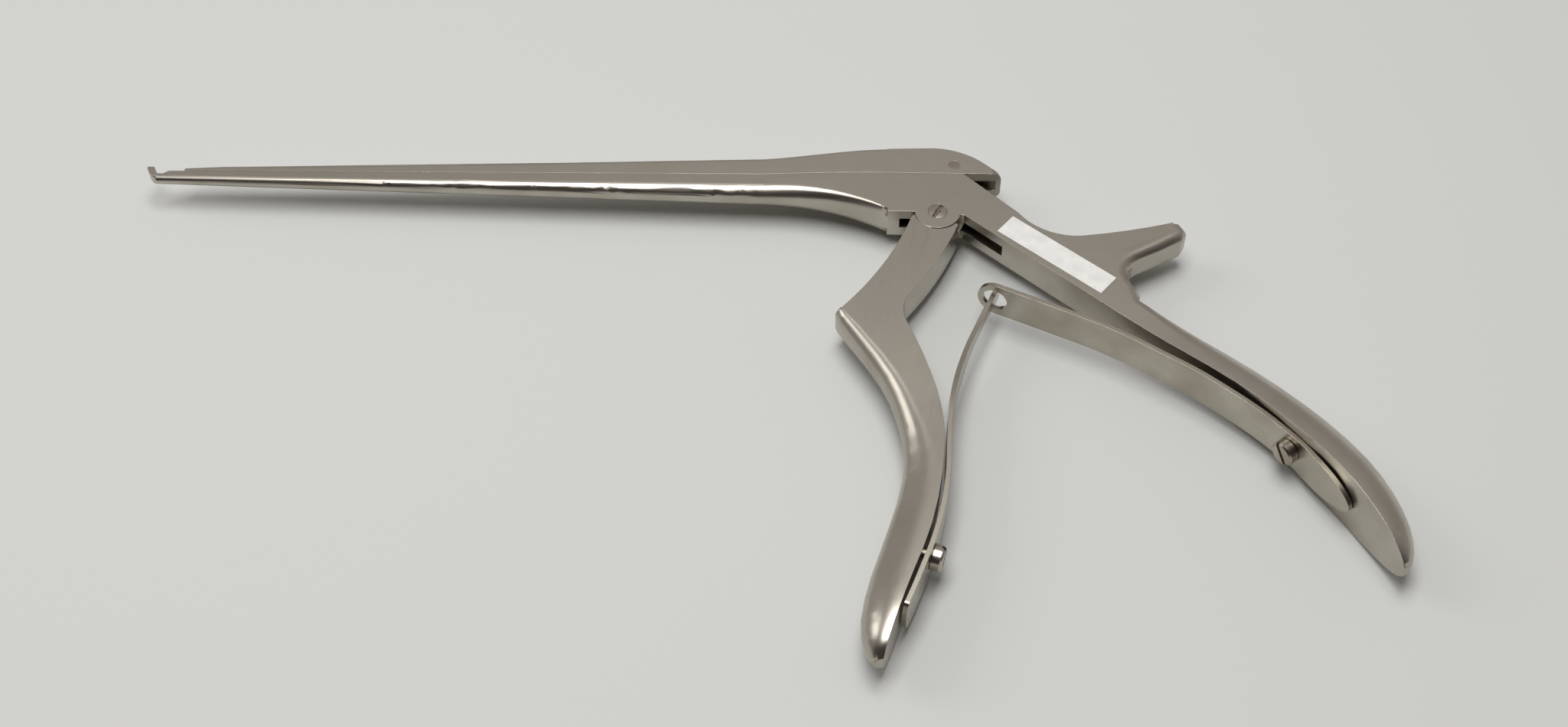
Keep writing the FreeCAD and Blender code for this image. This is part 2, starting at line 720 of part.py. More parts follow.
def spring_screw(place, leaf_lift):
    """A slotted cheese-head screw that clamps a leaf to its handle."""
    seat, head_way = place
    head_way = head_way * (1 / head_way.Length)
    stand_off = leaf_lift + leaf_thick + lie_gap
    shank = Part.makeCylinder(spring_screw_radius, spring_screw_reach + stand_off,
                              seat - head_way * spring_screw_reach, head_way)
    base = seat + head_way * stand_off
    head = Part.makeCylinder(spring_head_radius, spring_head_height, base, head_way)
    rim = [edge for edge in head.Edges
           if edge.CenterOfMass.distanceToPoint(base + head_way * spring_head_height) < 0.1]
    head = head.makeChamfer(spring_head_chamfer, rim)
    slot = Part.makeBox(driver_slot_width, 2 * spring_head_radius + 1, driver_slot_depth + 1,
                        Vector(-driver_slot_width / 2, -spring_head_radius - 0.5, -driver_slot_depth))
    slot.Placement = FreeCAD.Placement(base + head_way * spring_head_height,
                                       FreeCAD.Rotation(Vector(0, 0, 1), head_way))
    return shank.fuse(head).cut(slot).removeSplitter()


def marking_tape():
    """A blank strip of white tape on the upper side of the rear handle's web."""
    along = Vector(math.cos(inner_slope), math.sin(inner_slope), 0)
    out = Vector(-along.y, along.x, 0)
    near = inner_corner + along * tape_start + out * tape_inset
    along = Vector(math.cos(inner_slope + tape_skew), math.sin(inner_slope + tape_skew), 0)
    out = Vector(-along.y, along.x, 0)
    corners = [near, near + along * tape_length, near + along * tape_length + out * tape_width,
               near + out * tape_width]
    wire = Part.makePolygon(corners + [near])
    face = Part.Face(wire)
    face.translate(Vector(0, 0, half))
    return face.extrude(Vector(0, 0, tape_thick))


pieces = {
    "frame": frame_piece(),
    "sliding_shaft": slider_piece(),
    "front_handle": front_handle(),
    "pivot_screw": pivot_screw(),
    "drive_pin": drive_pin(),
    "rear_leaf_spring": rear_leaf(),
    "front_leaf_spring": front_leaf(),
    "rear_spring_screw": spring_screw(rear_screw_place(), rear_leaf_lift),
    "front_spring_screw": spring_screw(front_screw_place(), front_leaf_lift),
    "marking_tape": marking_tape(),
}

# The origin is the bottom centre of the whole tool's box.
whole = Part.makeCompound(list(pieces.values())).optimalBoundingBox(False)
to_origin = Vector(-(whole.XMin + whole.XMax) / 2, -(whole.YMin + whole.YMax) / 2, -whole.ZMin)

os.makedirs("parts", exist_ok=True)
for name, shape in pieces.items():
    shape.translate(to_origin)
    shape.exportStep("parts/" + name + ".step")
    print(name, "solids", len(shape.Solids), "valid", shape.isValid(), "volume", round(shape.Volume, 1))
print("overall", round(whole.XLength, 2), round(whole.YLength, 2), round(whole.ZLength, 2))
print("pivot at", round(to_origin.x, 4), round(to_origin.y, 4), round(to_origin.z, 4))
print("squeeze", round(math.degrees(squeeze_angle), 2), "travel", round(slider_travel(), 4))
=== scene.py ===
import json
import math

import bmesh
import bpy
from bpy.props import FloatProperty, FloatVectorProperty, PointerProperty, StringProperty
from bpy.types import Operator, Panel, PropertyGroup
from mathutils import Matrix, Vector


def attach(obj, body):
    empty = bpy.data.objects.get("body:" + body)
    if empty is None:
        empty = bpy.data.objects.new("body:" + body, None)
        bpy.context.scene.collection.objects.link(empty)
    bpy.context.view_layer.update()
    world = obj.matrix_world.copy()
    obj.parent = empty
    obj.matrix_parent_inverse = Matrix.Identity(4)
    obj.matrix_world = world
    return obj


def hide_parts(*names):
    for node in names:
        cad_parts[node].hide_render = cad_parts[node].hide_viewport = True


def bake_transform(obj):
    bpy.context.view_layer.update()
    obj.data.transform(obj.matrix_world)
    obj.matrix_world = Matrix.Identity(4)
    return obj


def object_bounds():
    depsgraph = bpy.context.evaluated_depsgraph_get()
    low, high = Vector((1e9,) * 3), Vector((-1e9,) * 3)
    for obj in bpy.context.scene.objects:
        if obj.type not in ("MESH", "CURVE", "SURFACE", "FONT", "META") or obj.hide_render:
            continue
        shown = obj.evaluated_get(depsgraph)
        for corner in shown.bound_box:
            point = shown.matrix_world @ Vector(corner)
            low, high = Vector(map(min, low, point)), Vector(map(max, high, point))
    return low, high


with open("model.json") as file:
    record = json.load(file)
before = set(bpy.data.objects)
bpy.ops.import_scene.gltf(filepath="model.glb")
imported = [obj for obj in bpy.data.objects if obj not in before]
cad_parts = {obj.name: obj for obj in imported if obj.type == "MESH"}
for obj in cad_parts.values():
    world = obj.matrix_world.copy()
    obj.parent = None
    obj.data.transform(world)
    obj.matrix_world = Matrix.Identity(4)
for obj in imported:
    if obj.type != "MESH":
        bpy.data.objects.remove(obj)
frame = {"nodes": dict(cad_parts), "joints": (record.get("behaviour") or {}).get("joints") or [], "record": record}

bl_info = {
    "name": "Kerrison rongeur dressing",
    "version": (1, 0, 0),
    "blender": (4, 5, 0),
    "location": "3D View > Sidebar > Rongeur",
    "description": "Dresses the packed bone punch in its steels and sets it on a studio table",
    "category": "Object",
}

MM = 0.001
CAD_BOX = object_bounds()
JOINTS = {joint["name"]: joint for joint in frame["joints"]}
PIVOT = Vector(JOINTS["squeeze"]["pos_m"])
BODY_OF = {node: body for body, nodes in frame["record"]["behaviour"]["bodies"].items() for node in nodes}
# The front leaf's tongue sits in the rear leaf's eye, 12.9 mm behind the pivot and 23.4 mm below it.
# Steps round a screw and along a leaf
SCREW_STEPS = 48
LEAF_STEPS = 140
# The handle's side of each leaf in plan, in millimetres from the pivot.
REAR_LEAF = ((9.61, -21.42), (26.75, -29.31), (39.78, -35.74), (50.57, -42.62), (61.43, -50.27),
             (78.13, -66.20), (84.34, -75.25), (89.28, -82.63))
FRONT_LEAF = ((-10.0, -113.2), (-6.5, -104.0), (-2.55, -92.0), (-0.2, -80.0), (0.6, -68.0),
              (1.5, -57.0), (4.7, -43.0), (8.9, -31.5), (13.3, -21.4))
# Lengths along each leaf from the first point of its line: the middle of its screw hole, the rounding
# of its ends, and the stretch in which the front leaf narrows to its tongue.
REAR_HOLE = 82.6 * MM
REAR_ROUNDING = 13 * MM
FRONT_HOLE = 17.6 * MM
FRONT_ROUNDING = 1.5 * MM
TONGUE_FROM = 55 * MM
TONGUE_TO = 86 * MM
TONGUE_ROUNDING = 0.4 * MM
# The drills that pierce a leaf are longer than it is thick.
DRILL_LENGTH = 8 * MM
# The top of the sliding half's tail in plan, in millimetres from the pivot: an arc, then a straight slope.
TAIL_ARC_RADIUS = 19.0
TAIL_ARC_X = -1.0
TAIL_TOP_Y = 21.25
TAIL_ARC_TURNS = (26, 30, 34, 38, 42.5)
TAIL_SLOPE_LENGTH = 4.3
TAIL_ROOF_THICK = 0.9
TAIL_ROOF_HALF_WIDTH = 1.75
# Edges that turn further than this stay crisp.
SHARP = math.radians(30)
# On faces larger than this, a corner normal that is turned further than this is set straight.
LARGE_FACE = 3 * MM * MM
STRAY_TURN = math.radians(9)
# Points closer than this are one point of a CAD mesh, and faces that turn less than this are one flat.
SAME_POINT = 0.002 * MM
SAME_FLAT = math.radians(0.4)
# Points of a rolled-up grid closer than this are its seam.
SEAM = 0.001 * MM
TABLE_HALF = 1.6


# Colours and shader nodes

def linear(code):
    """An sRGB hex colour as the linear values that a shader socket takes."""
    def channel(pair):
        value = int(pair, 16) / 255
        return value / 12.92 if value <= 0.04045 else ((value + 0.055) / 1.055) ** 2.4
    code = code.lstrip("#")
    return (channel(code[0:2]), channel(code[2:4]), channel(code[4:6]), 1.0)


def add(tree, kind, values=None, links=None, **settings):
    """Adds a shader or geometry node with its settings, socket values and incoming links."""
    node = tree.nodes.new(kind)
    for name, value in settings.items():
        setattr(node, name, value)
    for socket, value in (values or {}).items():
        node.inputs[socket].default_value = value
    for socket, source in (links or {}).items():
        tree.links.new(source, node.inputs[socket])
    return node


def arithmetic(tree):
    """Gives a function that adds one step of arithmetic, on two sockets or numbers, to the tree."""
    def calculate(operation, first, second=None):
        node = add(tree, "ShaderNodeMath", operation=operation)
        for place, source in enumerate((first, second)):
            if isinstance(source, (int, float)):
                node.inputs[place].default_value = source
            elif source is not None:
                tree.links.new(source, node.inputs[place])
        return node.outputs[0]
    return calculate


def new_material(name):
    """An empty node material with its output, ready for a surface."""
    material = bpy.data.materials.new(name)
    material.use_nodes = True
    tree = material.node_tree
    tree.nodes.clear()
    return material, tree


def ramp(tree, source, low, high, dark, light):
    """Spreads a 0 to 1 value between low and high onto the range dark to light."""
    spread = add(tree, "ShaderNodeMapRange",
                 {"From Min": low, "From Max": high, "To Min": dark, "To Max": light},
                 {"Value": source}, clamp=True)
    return spread.outputs["Result"]


def satin_steel(name, light, deep, roughness, edge_break, grain_turn=0.0):
    """Martensitic stainless steel, ground and glass-bead matted, then handled and sterilised for years.

    The bead blasting gives a soft grey sheen, the belt grinding fine lines along the piece,
    and handling gives faint polished patches and dull, slightly brown ones. Edges are broken by the
    tumbling barrel, so each catches a thin line of light.
    """
    material, tree = new_material(name)
    place = add(tree, "ShaderNodeTexCoord").outputs["Object"]
    grain_place = add(tree, "ShaderNodeMapping", {"Rotation": (0, 0, grain_turn), "Scale": (16.0, 1.0, 1.0)},
                      {"Vector": place}, vector_type="TEXTURE")
    # Belt lines are about 0.05 mm apart and are drawn 0.9 mm apart, as fine as the picture shows cleanly.
    grain = add(tree, "ShaderNodeTexNoise", {"Scale": 1 / (0.9 * MM), "Detail": 1.0, "Roughness": 0.5},
                {"Vector": grain_place.outputs["Vector"]})
    # Patches of handling wear are about 12 mm across, and specks about 1 mm.
    patches = add(tree, "ShaderNodeTexNoise", {"Scale": 1 / (12 * MM), "Detail": 2.0, "Roughness": 0.5},
                  {"Vector": place})
    specks = add(tree, "ShaderNodeTexNoise", {"Scale": 1 / (1.1 * MM), "Detail": 2.0, "Roughness": 0.5},
                 {"Vector": place})
    tone = ramp(tree, patches.outputs["Fac"], 0.35, 0.68, 0.0, 1.0)
    tint = add(tree, "ShaderNodeMix", {"A": linear(light), "B": linear(deep)}, {"Factor": tone},
               data_type="RGBA")
    spot = ramp(tree, specks.outputs["Fac"], 0.76, 0.84, 0.0, 0.30)
    spotted = add(tree, "ShaderNodeMix", {"B": linear("#6B5A47")},
                  {"Factor": spot, "A": tint.outputs[2]}, data_type="RGBA")
    rough = ramp(tree, patches.outputs["Fac"], 0.3, 0.72, roughness - 0.03, roughness + 0.04)
    fine = ramp(tree, grain.outputs["Fac"], 0.3, 0.7, -0.006, 0.006)
    finish = add(tree, "ShaderNodeMath", links={0: rough, 1: fine}, operation="ADD")
    broken = add(tree, "ShaderNodeBevel", {"Radius": edge_break}, samples=6)
    dents = add(tree, "ShaderNodeBump", {"Strength": 0.05, "Distance": 0.004 * MM},
                {"Height": grain.outputs["Fac"], "Normal": broken.outputs["Normal"]})
    shader = add(tree, "ShaderNodeBsdfPrincipled", {"Metallic": 1.0},
                 {"Base Color": spotted.outputs[2], "Roughness": finish.outputs[0],
                  "Normal": dents.outputs["Normal"]})
    add(tree, "ShaderNodeOutputMaterial", links={"Surface": shader.outputs["BSDF"]})
    return material


def adhesive_tape(name, colour):
    """Autoclavable vinyl marking tape: opaque white film with a faint calendered texture."""
    material, tree = new_material(name)
    place = add(tree, "ShaderNodeTexCoord").outputs["Object"]
    wave = add(tree, "ShaderNodeTexNoise", {"Scale": 1 / (2.5 * MM), "Detail": 3.0}, {"Vector": place})
    tone = ramp(tree, wave.outputs["Fac"], 0.35, 0.7, 0.0, 1.0)
    tint = add(tree, "ShaderNodeMix", {"A": linear(colour), "B": linear("#DFDFDC")}, {"Factor": tone},
               data_type="RGBA")
    dents = add(tree, "ShaderNodeBump", {"Strength": 0.10, "Distance": 0.02 * MM},
                {"Height": wave.outputs["Fac"]})
    shader = add(tree, "ShaderNodeBsdfPrincipled", {"Roughness": 0.48, "IOR": 1.5},
                 {"Base Color": tint.outputs[2], "Normal": dents.outputs["Normal"]})
    add(tree, "ShaderNodeOutputMaterial", links={"Surface": shader.outputs["BSDF"]})
    return material


# Sizes and colours that a user would change

class SteelSettings(PropertyGroup):
    body_light: StringProperty(name="Body light", description="Lighter tone of the body steel",
                               default="#BDB8AE")
    body_deep: StringProperty(name="Body deep", description="Deeper tone of the body steel",
                              default="#AFA99D")
    spring_light: StringProperty(name="Spring light", description="Lighter tone of the leaf springs",
                                 default="#BBB6AA")
    spring_deep: StringProperty(name="Spring deep", description="Deeper tone of the leaf springs",
                                default="#A9A294")
    screw_light: StringProperty(name="Screw light", description="Lighter tone of the screws",
                                default="#C0B8AC")
    screw_deep: StringProperty(name="Screw deep", description="Deeper tone of the screws",
                               default="#9C9284")
    tape_colour: StringProperty(name="Tape", description="Colour of the marking tape", default="#ECEBE6")
    body_roughness: FloatProperty(name="Body roughness", description="Roughness of the matted steel",
                                  default=0.30, min=0.05, max=0.9, subtype="FACTOR")
    edge_break: FloatProperty(name="Edge break", description="Width of the small rounding on ground edges",
                              default=0.12 * MM, min=0.0, unit="LENGTH")


class ScrewSettings(PropertyGroup):
    head_radius: FloatProperty(name="Head radius", description="Radius of a spring screw's head",
                               default=3.0 * MM, min=0.0, unit="LENGTH")
    head_height: FloatProperty(name="Head height", description="Height of a spring screw's head",
                               default=2.4 * MM, min=0.0, unit="LENGTH")
    chamfer: FloatProperty(name="Chamfer", description="Chamfer round the top of the head",
                           default=0.5 * MM, min=0.0, unit="LENGTH")
    slot_width: FloatProperty(name="Slot width", description="Width of the driver slot",
                              default=0.9 * MM, min=0.0, unit="LENGTH")
    slot_depth: FloatProperty(name="Slot depth", description="Depth of the driver slot",
                              default=0.9 * MM, min=0.0, unit="LENGTH")
    shank_radius: FloatProperty(name="Shank radius", description="Radius of the screw below its head",
                                default=1.5 * MM, min=0.0, unit="LENGTH")
    rear_way: FloatProperty(name="Rear screw",
                            description="Direction in plan that the rear screw's head faces",
                            default=math.radians(218.5), subtype="ANGLE")
    front_way: FloatProperty(name="Front screw",
                             description="Direction in plan that the front screw's head faces",
                             default=math.radians(-18.2), subtype="ANGLE")
    rear_turn: FloatProperty(name="Rear slot", description="How far the rear screw's slot is turned",
                             default=math.radians(38), subtype="ANGLE")
    front_turn: FloatProperty(name="Front slot", description="How far the front screw's slot is turned",
                              default=math.radians(-24), subtype="ANGLE")


class LeafSettings(PropertyGroup):
    width: FloatProperty(name="Width", description="Width of both leaves where they are clamped",
                         default=9.5 * MM, min=0.0, unit="LENGTH")
    thickness: FloatProperty(name="Thickness", description="Thickness of both leaves",
                             default=1.1 * MM, min=0.0, unit="LENGTH")
    tongue_width: FloatProperty(name="Tongue width", description="Width of the front leaf's upper end",
                                default=3.6 * MM, min=0.0, unit="LENGTH")
    eye_radius: FloatProperty(name="Eye radius", description="Radius of the eye in the rear leaf",
                              default=3.1 * MM, min=0.0, unit="LENGTH")
    eye_place: FloatProperty(name="Eye place",
                             description="How far the eye's middle is from the rear leaf's end",
                             default=4.3 * MM, min=0.0, unit="LENGTH")


class StageSettings(PropertyGroup):
    table_colour: StringProperty(name="Table", description="Colour of the table", default="#D3D4D1")
    camera_place: FloatVectorProperty(name="Camera", description="Camera's place from the pivot",
                                      default=(-0.02978, -0.37541, 0.41324), unit="LENGTH")
    camera_aim: FloatVectorProperty(name="Aim", description="Direction that the camera looks in",
                                    default=(-0.01211, 0.62513, -0.78043), subtype="DIRECTION")
    lens: FloatProperty(name="Lens", description="Focal length for a 36 mm wide sensor, in millimetres",
                        default=52.73)
    lamp_power: FloatProperty(name="Overhead lamp",
                              description="Power of the softbox over the table, in watts",
                              default=9.0)
    fill_power: FloatProperty(name="Fill lamp", description="Power of the softbox at the left, in watts",
                              default=2.5)


# Pieces

def new_object(name, data):
    """An object that holds the data, linked to the scene."""
    holder = bpy.data.objects.new(name, data)
    bpy.context.scene.collection.objects.link(holder)
    return holder


def merged_copy(node, extra=None):
    """A mesh of its own made from a CAD node, with its loose triangles joined and flats made whole."""
    source = frame["nodes"][node]
    work = bmesh.new()
    work.from_mesh(source.data)
    bmesh.ops.remove_doubles(work, verts=work.verts, dist=SAME_POINT)
    bmesh.ops.dissolve_degenerate(work, dist=SAME_POINT, edges=work.edges)
    bmesh.ops.dissolve_limit(work, angle_limit=SAME_FLAT, verts=work.verts, edges=work.edges)
    mesh = bpy.data.meshes.new("dressed_" + node)
    if extra:
        extra.to_mesh(mesh)
        extra.free()
        work.from_mesh(mesh)
    work.to_mesh(mesh)
    work.free()
    return new_object("dressed_" + node, mesh)


def settle(piece):
    """Applies a piece's modifiers, so that a plain mesh is left."""
    evaluated = piece.evaluated_get(bpy.context.evaluated_depsgraph_get())
    mesh = bpy.data.meshes.new_from_object(evaluated)
    piece.modifiers.clear()
    piece.data = mesh


def shade(piece, angle):
    """Smooth shading that is crisp past the angle and follows the larger faces, so that flats look flat."""
    piece.data.shade_smooth()
    piece.data.set_sharp_from_angle(angle=angle)
    weigh = piece.modifiers.new("led by the larger faces", "WEIGHTED_NORMAL")
    weigh.mode = "FACE_AREA_WITH_ANGLE"
    weigh.keep_sharp = True
    settle(piece)
    # A small neighbour can still turn the normal at a corner of a large face, which shows as a bright wedge.
    mesh = piece.data
    normals = [corner.vector.copy() for corner in mesh.corner_normals]
    for face in mesh.polygons:
        if face.area > LARGE_FACE:
            for corner in face.loop_indices:
                if normals[corner].angle(face.normal, 0) > STRAY_TURN:
                    normals[corner] = face.normal.copy()
    mesh.normals_split_custom_set(normals)


def dress(node, material, extra=None):
    """The visible piece for a CAD node: its own shape, shaded so that flats look flat, and its finish."""
    piece = merged_copy(node, extra)
    piece.data.materials.clear()
    piece.data.materials.append(material)
    shade(piece, SHARP)
    return piece


def feed(modifier, tree, values):
    """Gives a Geometry Nodes modifier its tree and the inputs that are named."""
    modifier.node_group = tree
    for socket in tree.interface.items_tree:
        if socket.in_out == "INPUT" and socket.name in values:
            modifier[socket.identifier] = values[socket.name]


def by_row(tree, row, sources):
    """A value for each row of a grid, zero where the source is None."""
    chooser = add(tree, "GeometryNodeIndexSwitch", links={0: row}, data_type="FLOAT")
    while len(chooser.index_switch_items) < len(sources):
        chooser.index_switch_items.new()
    for place, source in enumerate(sources, 1):
        if source is not None:
            tree.links.new(source, chooser.inputs[place])
    return chooser.outputs[0]


def screw_tree():
    """Geometry Nodes for a turned cheese-head screw with a driver slot, its top at the origin."""
    tree = bpy.data.node_groups.new("turned slotted screw", "GeometryNodeTree")
    for name in ("Head radius", "Head height", "Chamfer", "Slot width", "Slot depth", "Shank radius",
                 "Length"):
        tree.interface.new_socket(name, in_out="INPUT", socket_type="NodeSocketFloat").subtype = "DISTANCE"
    tree.interface.new_socket("Finish", in_out="INPUT", socket_type="NodeSocketMaterial")
    tree.interface.new_socket("Screw", in_out="OUTPUT", socket_type="NodeSocketGeometry")
    given = add(tree, "NodeGroupInput").outputs
    calculate = arithmetic(tree)

    index = add(tree, "GeometryNodeInputIndex").outputs["Index"]
    row = calculate("FLOOR", calculate("DIVIDE", index, SCREW_STEPS + 1))
    column = calculate("MODULO", index, SCREW_STEPS + 1)
    turn = calculate("MULTIPLY", column, math.tau / SCREW_STEPS)

    # The profile runs from the middle of the head's top, over the rim and the shank, to the shank's end.
    rim = calculate("SUBTRACT", given["Head radius"], given["Chamfer"])
    below = {name: calculate("MULTIPLY", given[name], -1.0) for name in ("Chamfer", "Head height", "Length")}
    radii = [None, rim, given["Head radius"], given["Head radius"], given["Shank radius"],
             given["Shank radius"], None]
    heights = [None, None, below["Chamfer"], below["Head height"], below["Head height"],
               below["Length"], below["Length"]]
    radius = by_row(tree, row, radii)
    height = by_row(tree, row, heights)
    across = calculate("MULTIPLY", calculate("COSINE", turn), radius)
    along = calculate("MULTIPLY", calculate("SINE", turn), radius)
    place = add(tree, "ShaderNodeCombineXYZ", links={"X": across, "Y": along, "Z": height})
    sheet = add(tree, "GeometryNodeMeshGrid", {"Vertices X": len(radii), "Vertices Y": SCREW_STEPS + 1})
    turned = add(tree, "GeometryNodeSetPosition",
                 links={"Geometry": sheet.outputs["Mesh"], "Position": place.outputs["Vector"]})
    closed = add(tree, "GeometryNodeMergeByDistance", {"Distance": SEAM}, {"Geometry": turned.outputs[0]})

    # The driver slot is sawn right across the head, by a block whose middle is at the head's top.
    deep = calculate("MULTIPLY", given["Slot depth"], 2.0)
    long = calculate("MULTIPLY", given["Head radius"], 3.0)
    saw = add(tree, "ShaderNodeCombineXYZ", links={"X": given["Slot width"], "Y": long, "Z": deep})
    blade = add(tree, "GeometryNodeMeshCube", links={"Size": saw.outputs["Vector"]})
    slotted = add(tree, "GeometryNodeMeshBoolean",
                  links={"Mesh 1": closed.outputs[0], "Mesh 2": blade.outputs["Mesh"]},
                  operation="DIFFERENCE", solver="EXACT")
    real = add(tree, "GeometryNodeRealizeInstances", links={0: slotted.outputs["Mesh"]})
    finished = add(tree, "GeometryNodeSetMaterial",
                   links={"Geometry": real.outputs[0], "Material": given["Finish"]})
    add(tree, "NodeGroupOutput", links={0: finished.outputs[0]})
    return tree


def leaf_tree():
    """Geometry Nodes for a leaf spring: a rectangular bar that follows a line, narrows and is pierced."""
    tree = bpy.data.node_groups.new("pierced leaf spring", "GeometryNodeTree")
    tree.interface.new_socket("Line", in_out="INPUT", socket_type="NodeSocketGeometry")
    for name in ("Width", "End width", "Narrows from", "Narrows to", "Thickness", "First rounding",
                 "Last rounding", "Eye place", "Eye radius", "Hole place", "Hole radius"):
        tree.interface.new_socket(name, in_out="INPUT", socket_type="NodeSocketFloat").subtype = "DISTANCE"
    tree.interface.new_socket("Finish", in_out="INPUT", socket_type="NodeSocketMaterial")
    tree.interface.new_socket("Leaf", in_out="OUTPUT", socket_type="NodeSocketGeometry")
    given = add(tree, "NodeGroupInput").outputs
    calculate = arithmetic(tree)

    def aim(operation, first, second):
        """One step of vector arithmetic, with a scale where the second is a plain value."""
        node = add(tree, "ShaderNodeVectorMath", links={0: first}, operation=operation)
        if isinstance(second, tuple):
            node.inputs[1].default_value = second
        else:
            tree.links.new(second, node.inputs["Scale" if operation == "SCALE" else 1])
        return node.outputs[0]

    def on_line(length):
        """The place, the direction and the side of the line at a length along it."""
        sample = add(tree, "GeometryNodeSampleCurve", links={"Curves": given["Line"], "Length": length},
                     mode="LENGTH")
        side = aim("CROSS_PRODUCT", sample.outputs["Tangent"], (0, 0, 1))
        return sample.outputs["Position"], sample.outputs["Tangent"], side

    # Rows go round the section and columns along the leaf, closer together near both ends.
    index = add(tree, "GeometryNodeInputIndex").outputs["Index"]
    row = calculate("FLOOR", calculate("DIVIDE", index, LEAF_STEPS + 1))
    column = calculate("MODULO", index, LEAF_STEPS + 1)
    whole = add(tree, "GeometryNodeCurveLength", links={"Curve": given["Line"]}).outputs["Length"]
    share = calculate("COSINE", calculate("MULTIPLY", column, math.pi / LEAF_STEPS))
    along = calculate("MULTIPLY", calculate("MULTIPLY", calculate("SUBTRACT", 1.0, share), 0.5), whole)

    width = add(tree, "ShaderNodeMapRange", links={"Value": along, "From Min": given["Narrows from"],
                "From Max": given["Narrows to"], "To Min": given["Width"], "To Max": given["End width"]},
                interpolation_type="SMOOTHSTEP").outputs["Result"]
    ends = []
    for distance, rounding in ((along, given["First rounding"]),
                               (calculate("SUBTRACT", whole, along), given["Last rounding"])):
        gap = calculate("SUBTRACT", 1.0, calculate("MINIMUM", calculate("DIVIDE", distance, rounding), 1.0))
        inside = calculate("SUBTRACT", 1.0, calculate("MULTIPLY", gap, gap))
        ends.append(calculate("SQRT", calculate("MAXIMUM", inside, 0.0)))
    half_width = calculate("MULTIPLY", calculate("MULTIPLY", width, 0.5), calculate("MULTIPLY", *ends))
    below = calculate("MULTIPLY", half_width, -1.0)
    up = by_row(tree, row, [below, half_width, half_width, below, below])
    out = by_row(tree, row, [None, None, given["Thickness"], given["Thickness"], None])

    place, _, side = on_line(along)
    rise = add(tree, "ShaderNodeCombineXYZ", links={"Z": up}).outputs["Vector"]
    spot = aim("ADD", aim("ADD", place, aim("SCALE", side, out)), rise)
    sheet = add(tree, "GeometryNodeMeshGrid", {"Vertices X": 5, "Vertices Y": LEAF_STEPS + 1})
    bar = add(tree, "GeometryNodeSetPosition", links={"Geometry": sheet.outputs["Mesh"], "Position": spot})
    closed = add(tree, "GeometryNodeMergeByDistance", {"Distance": SEAM}, {"Geometry": bar.outputs[0]})

    # The eye and the screw hole are drilled square to the leaf.
    pierced = add(tree, "GeometryNodeMeshBoolean", links={"Mesh 1": closed.outputs[0]},
                  operation="DIFFERENCE", solver="EXACT")
    for name in ("Eye", "Hole"):
        drill = add(tree, "GeometryNodeMeshCylinder", {"Vertices": 64, "Depth": DRILL_LENGTH},
                    {"Radius": given[name + " radius"]})
        own_place = add(tree, "GeometryNodeInputPosition").outputs[0]
        spot = add(tree, "ShaderNodeSeparateXYZ", links={0: own_place}).outputs
        place, tangent, side = on_line(given[name + " place"])
        rise = add(tree, "ShaderNodeCombineXYZ", links={"Z": spot["Y"]}).outputs["Vector"]
        across = aim("ADD", aim("SCALE", tangent, spot["X"]), aim("SCALE", side, spot["Z"]))
        set_in = add(tree, "GeometryNodeSetPosition", links={
            "Geometry": drill.outputs["Mesh"], "Position": aim("ADD", aim("ADD", place, across), rise)})
        wanted = add(tree, "GeometryNodeSwitch", links={"Switch": given[name + " radius"],
                     "True": set_in.outputs[0]}, input_type="GEOMETRY")
        tree.links.new(wanted.outputs[0], pierced.inputs["Mesh 2"])
    real = add(tree, "GeometryNodeRealizeInstances", links={0: pierced.outputs["Mesh"]})
    finished = add(tree, "GeometryNodeSetMaterial",
                   links={"Geometry": real.outputs[0], "Material": given["Finish"]})
    add(tree, "NodeGroupOutput", links={0: finished.outputs[0]})
    return tree


def leaf_spring(name, tree, line, values):
    """A leaf from the tree along a smooth line, given in millimetres from the pivot."""
    curve = bpy.data.curves.new(name, "CURVE")
    curve.dimensions = "3D"
    curve.resolution_u = 24
    spline = curve.splines.new("BEZIER")
    spline.bezier_points.add(len(line) - 1)
    for point, (x, y) in zip(spline.bezier_points, line):
        point.co = PIVOT + Vector((x, y, 0)) * MM
        point.handle_left_type = point.handle_right_type = "AUTO"
    holder = new_object(name, curve)
    feed(holder.modifiers.new("pierced leaf spring", "NODES"), tree, values)
    mesh = bpy.data.meshes.new_from_object(holder.evaluated_get(bpy.context.evaluated_depsgraph_get()))
    bpy.data.objects.remove(holder)
    return new_object(name, mesh)


def heading(angle):
    """The direction in plan at an angle from the X axis."""
    return Vector((math.cos(angle), math.sin(angle), 0))


def head_top(node, way):
    """The middle of the top of a screw's head and the screw's length, read from its CAD node."""
    side = Vector((-way.y, way.x, 0))
    places = [vertex.co for vertex in frame["nodes"][node].data.vertices]
    reach = [place.dot(way) for place in places]
    width = [place.dot(side) for place in places]
    middle = way * max(reach) + side * ((min(width) + max(width)) / 2)
    return Vector((middle.x, middle.y, PIVOT.z)), max(reach) - min(reach)


def spring_screw(node, tree, finish, way, slot_turn, sizes):
    """One spring screw from the tree, set where its CAD node is, with its slot turned as on the real one."""
    top, length = head_top(node, way)
    piece = new_object("turned_" + node, bpy.data.meshes.new("turned_" + node))
    values = {"Head radius": sizes.head_radius, "Head height": sizes.head_height, "Chamfer": sizes.chamfer,
              "Slot width": sizes.slot_width, "Slot depth": sizes.slot_depth,
              "Shank radius": sizes.shank_radius, "Length": length, "Finish": finish}
    feed(piece.modifiers.new("turned slotted screw", "NODES"), tree, values)
    settle(piece)
    turned = way.to_track_quat("Z", "Y").to_matrix().to_4x4() @ Matrix.Rotation(slot_turn, 4, "Z")
    piece.data.transform(Matrix.Translation(top) @ turned)
    return piece


